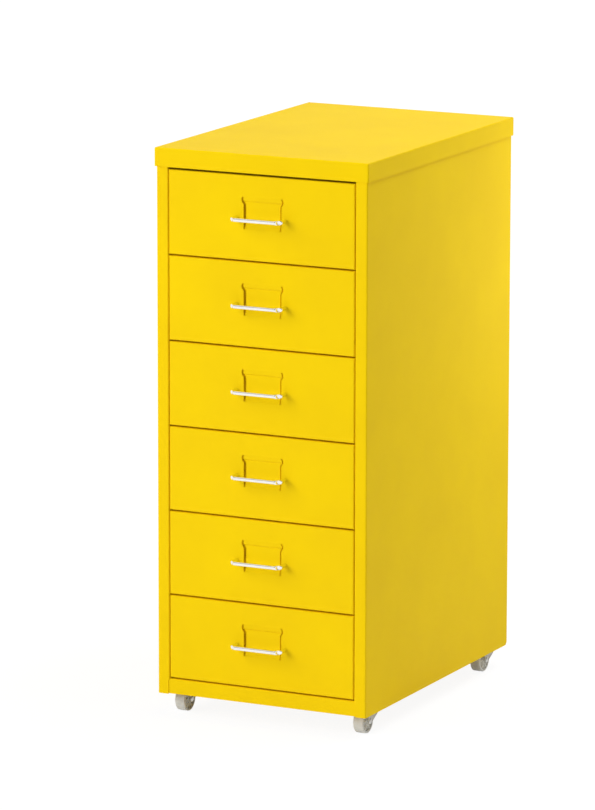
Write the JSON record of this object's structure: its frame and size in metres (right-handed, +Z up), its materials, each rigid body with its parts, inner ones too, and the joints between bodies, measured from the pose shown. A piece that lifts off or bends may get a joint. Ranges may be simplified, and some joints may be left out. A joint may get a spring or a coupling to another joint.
{
  "type": "drawer cabinet",
  "caption": "Narrow sheet-steel drawer cabinet on swivel castors, with wire bow handles and a label strip lanced from each drawer front.",
  "frame": {"origin": "on the floor under the middle of the outline, handles included", "axes": "+Z up, +X to the right seen from the front, drawers open along -Y"},
  "size_m": [0.28, 0.4302, 0.69],
  "materials": {
    "powder_coat": "yellow powder coat, semi-gloss",
    "handle_chrome": "polished chrome",
    "zinc_steel": "zinc plated",
    "castor_plastic": "light grey moulded plastic"
  },
  "bodies": {
    "cabinet": {"side_panel_left": "powder_coat", "side_panel_right": "powder_coat", "back_panel": "powder_coat", "top_cap": "powder_coat", "base_pan": "powder_coat", "castor_screws": "zinc_steel", "back_panel_screws": "zinc_steel", "castor_kingpins": "zinc_steel", "runner_left_1": "powder_coat", "runner_left_2": "powder_coat", "runner_left_3": "powder_coat", "runner_left_4": "powder_coat", "runner_left_5": "powder_coat", "runner_left_6": "powder_coat", "runner_right_1": "powder_coat", "runner_right_2": "powder_coat", "runner_right_3": "powder_coat", "runner_right_4": "powder_coat", "runner_right_5": "powder_coat", "runner_right_6": "powder_coat", "castor_front_left_plate": "zinc_steel", "castor_front_right_plate": "zinc_steel", "castor_rear_left_plate": "zinc_steel", "castor_rear_right_plate": "zinc_steel"},
    "drawer_1": {"drawer_1_front": "powder_coat", "drawer_1_tray": "powder_coat", "drawer_1_handle": "handle_chrome", "drawer_1_handle_nuts": "zinc_steel"},
    "drawer_2": {"drawer_2_front": "powder_coat", "drawer_2_tray": "powder_coat", "drawer_2_handle": "handle_chrome", "drawer_2_handle_nuts": "zinc_steel"},
    "drawer_3": {"drawer_3_front": "powder_coat", "drawer_3_tray": "powder_coat", "drawer_3_handle": "handle_chrome", "drawer_3_handle_nuts": "zinc_steel"},
    "drawer_4": {"drawer_4_front": "powder_coat", "drawer_4_tray": "powder_coat", "drawer_4_handle": "handle_chrome", "drawer_4_handle_nuts": "zinc_steel"},
    "drawer_5": {"drawer_5_front": "powder_coat", "drawer_5_tray": "powder_coat", "drawer_5_handle": "handle_chrome", "drawer_5_handle_nuts": "zinc_steel"},
    "drawer_6": {"drawer_6_front": "powder_coat", "drawer_6_tray": "powder_coat", "drawer_6_handle": "handle_chrome", "drawer_6_handle_nuts": "zinc_steel"},
    "castor_front_left_swivel": {"castor_front_left_fork": "castor_plastic", "castor_front_left_axle": "zinc_steel"},
    "castor_front_left_wheel": {"castor_front_left_wheel": "castor_plastic"},
    "castor_front_right_swivel": {"castor_front_right_fork": "castor_plastic", "castor_front_right_axle": "zinc_steel"},
    "castor_front_right_wheel": {"castor_front_right_wheel": "castor_plastic"},
    "castor_rear_left_swivel": {"castor_rear_left_fork": "castor_plastic", "castor_rear_left_axle": "zinc_steel"},
    "castor_rear_left_wheel": {"castor_rear_left_wheel": "castor_plastic"},
    "castor_rear_right_swivel": {"castor_rear_right_fork": "castor_plastic", "castor_rear_right_axle": "zinc_steel"},
    "castor_rear_right_wheel": {"castor_rear_right_wheel": "castor_plastic"}
  },
  "joints": [
    {"name": "drawer_1_slide", "type": "slide", "parent": "cabinet", "child": "drawer_1", "axis": [0, -1, 0], "range_m": [0, 0.29]},
    {"name": "drawer_2_slide", "type": "slide", "parent": "cabinet", "child": "drawer_2", "axis": [0, -1, 0], "range_m": [0, 0.29]},
    {"name": "drawer_3_slide", "type": "slide", "parent": "cabinet", "child": "drawer_3", "axis": [0, -1, 0], "range_m": [0, 0.29]},
    {"name": "drawer_4_slide", "type": "slide", "parent": "cabinet", "child": "drawer_4", "axis": [0, -1, 0], "range_m": [0, 0.29]},
    {"name": "drawer_5_slide", "type": "slide", "parent": "cabinet", "child": "drawer_5", "axis": [0, -1, 0], "range_m": [0, 0.29]},
    {"name": "drawer_6_slide", "type": "slide", "parent": "cabinet", "child": "drawer_6", "axis": [0, -1, 0], "range_m": [0, 0.29]},
    {"name": "castor_front_left_swivel_turn", "type": "hinge", "parent": "cabinet", "child": "castor_front_left_swivel", "pos_m": [-0.119, -0.15235, 0.034], "axis": [0, 0, 1], "continuous": true},
    {"name": "castor_front_left_wheel_roll", "type": "hinge", "parent": "castor_front_left_swivel", "child": "castor_front_left_wheel", "pos_m": [-0.119, -0.16135, 0.015], "axis": [1, 0, 0], "continuous": true},
    {"name": "castor_front_right_swivel_turn", "type": "hinge", "parent": "cabinet", "child": "castor_front_right_swivel", "pos_m": [0.119, -0.15235, 0.034], "axis": [0, 0, 1], "continuous": true},
    {"name": "castor_front_right_wheel_roll", "type": "hinge", "parent": "castor_front_right_swivel", "child": "castor_front_right_wheel", "pos_m": [0.119, -0.16135, 0.015], "axis": [1, 0, 0], "continuous": true},
    {"name": "castor_rear_left_swivel_turn", "type": "hinge", "parent": "cabinet", "child": "castor_rear_left_swivel", "pos_m": [-0.119, 0.18215, 0.034], "axis": [0, 0, 1], "continuous": true},
    {"name": "castor_rear_left_wheel_roll", "type": "hinge", "parent": "castor_rear_left_swivel", "child": "castor_rear_left_wheel", "pos_m": [-0.119, 0.17315, 0.015], "axis": [1, 0, 0], "continuous": true},
    {"name": "castor_rear_right_swivel_turn", "type": "hinge", "parent": "cabinet", "child": "castor_rear_right_swivel", "pos_m": [0.119, 0.18215, 0.034], "axis": [0, 0, 1], "continuous": true},
    {"name": "castor_rear_right_wheel_roll", "type": "hinge", "parent": "castor_rear_right_swivel", "child": "castor_rear_right_wheel", "pos_m": [0.119, 0.17315, 0.015], "axis": [1, 0, 0], "continuous": true}
  ]
}
